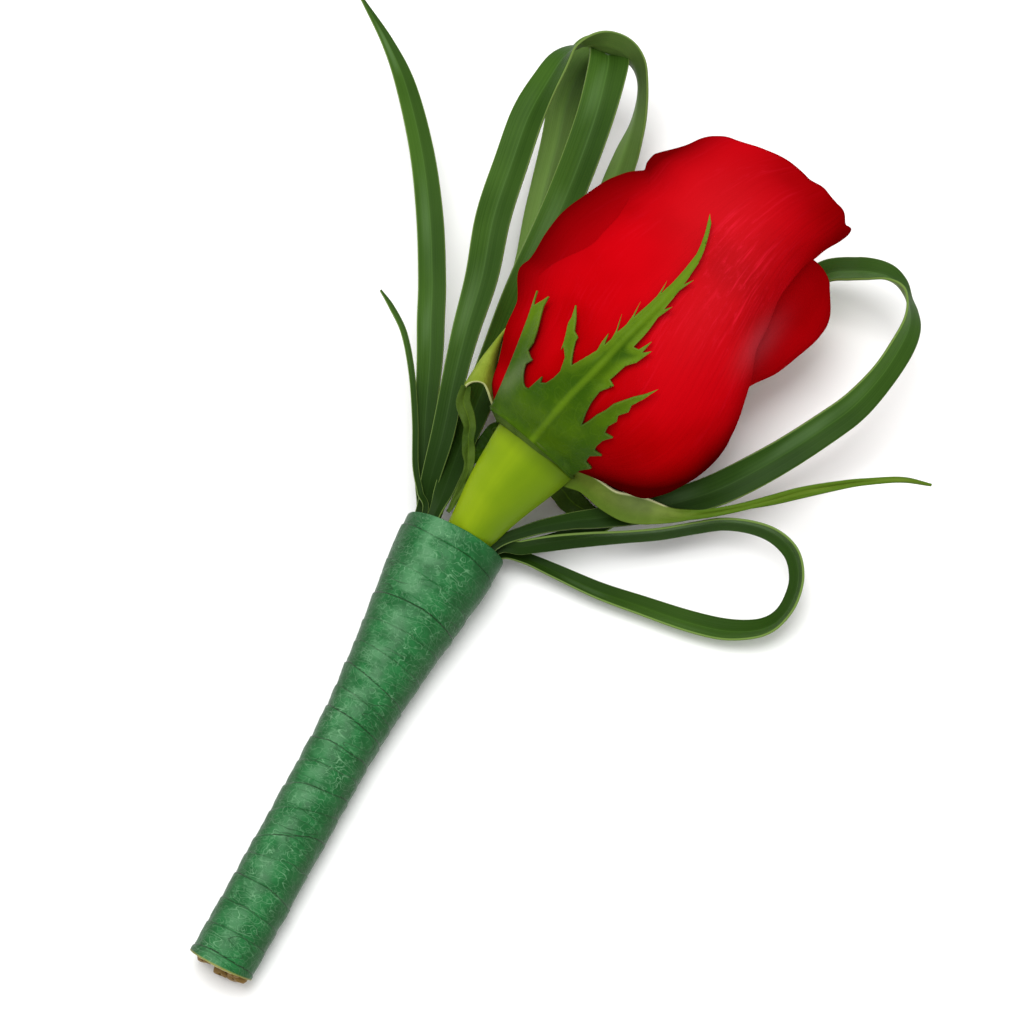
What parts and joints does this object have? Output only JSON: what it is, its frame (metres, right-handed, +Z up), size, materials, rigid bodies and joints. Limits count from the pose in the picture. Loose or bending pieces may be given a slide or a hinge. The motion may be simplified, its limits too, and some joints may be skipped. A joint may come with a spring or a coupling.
{
  "type": "boutonniere",
  "caption": "Buttonhole flower: a half-open rose on a hip with toothed sepals, looped lily grass and a tape-wrapped stem handle, lying on its side.",
  "frame": {"origin": "middle of the footprint, on the surface that the part lies on", "axes": "+Y along the handle from the cut foot towards the bloom, +X to the right seen from above, +Z up"},
  "size_m": [0.1146, 0.1556, 0.0414],
  "materials": {
    "floral_tape": "waxed crepe paper, finely crinkled",
    "hip_green": "smooth and waxy",
    "petal_red": "velvety petal",
    "sepal_green": "matt leaf",
    "grass_green": "ribbed, slightly shiny leaf"
  },
  "bodies": {
    "root": {"tape_wrap": "floral_tape", "rose_stem": "hip_green", "rose_bloom": "petal_red", "rose_calyx": "sepal_green", "grass_blade_tall": "grass_green", "grass_blade_short": "grass_green", "grass_loop_left_outer": "grass_green", "grass_loop_left_inner": "grass_green", "grass_loop_right": "grass_green", "grass_loop_low": "grass_green"}
  },
  "joints": []
}
